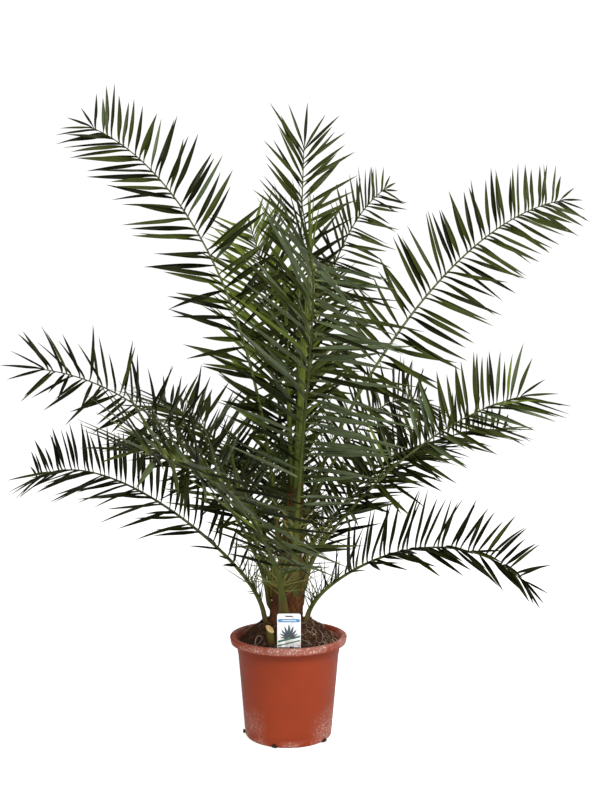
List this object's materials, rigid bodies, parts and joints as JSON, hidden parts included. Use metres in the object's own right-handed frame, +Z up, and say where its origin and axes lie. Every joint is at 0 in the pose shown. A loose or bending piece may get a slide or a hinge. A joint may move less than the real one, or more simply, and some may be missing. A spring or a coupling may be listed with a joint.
{
  "type": "potted date palm tree",
  "caption": "Young feather-leaved palm on a short fibrous trunk, standing in a round plastic nursery pot filled with potting soil.",
  "frame": {"origin": "centre of the pot's flat underside", "axes": "+Z up along the pot's axis, +X to the palm's right as seen from the front, -Y towards the front"},
  "size_m": [1.6582, 1.5505, 1.7141],
  "materials": {
    "pot": "moulded satin, dusty at the lip",
    "soil": "loose fibrous compost",
    "trunk": "matted leaf-sheath fibre",
    "leaf": "waxy leaf, satin",
    "young_leaf": "folded young leaf, satin",
    "leaf_base": "cut leaf base, dry at the cut",
    "label": "printed plastic card"
  },
  "bodies": {
    "root": {"frond_back": "leaf", "frond_back_left": "leaf", "frond_back_left_end": "leaf", "frond_back_left_high": "leaf", "frond_back_left_lowest": "leaf", "frond_back_low": "leaf", "frond_back_low_end": "leaf", "frond_back_right": "leaf", "frond_back_right_end": "leaf", "frond_back_right_high": "leaf", "frond_back_right_low": "leaf", "frond_back_right_low_end": "leaf", "frond_back_right_lowest": "leaf", "frond_back_right_lowest_end": "leaf", "frond_front": "leaf", "frond_front_end": "leaf", "frond_front_left": "leaf", "frond_left": "leaf", "frond_lower_left": "leaf", "frond_lower_left_end": "leaf", "frond_lower_right": "leaf", "frond_lower_right_end": "leaf", "frond_right": "leaf", "frond_top": "leaf", "frond_upper_left": "leaf", "frond_upper_right": "leaf", "leaf_stub": "leaf_base", "plant_label": "label", "pot": "pot", "soil": "soil", "spear_1": "young_leaf", "spear_2": "young_leaf", "spear_3": "young_leaf", "trunk": "trunk"}
  },
  "joints": []
}
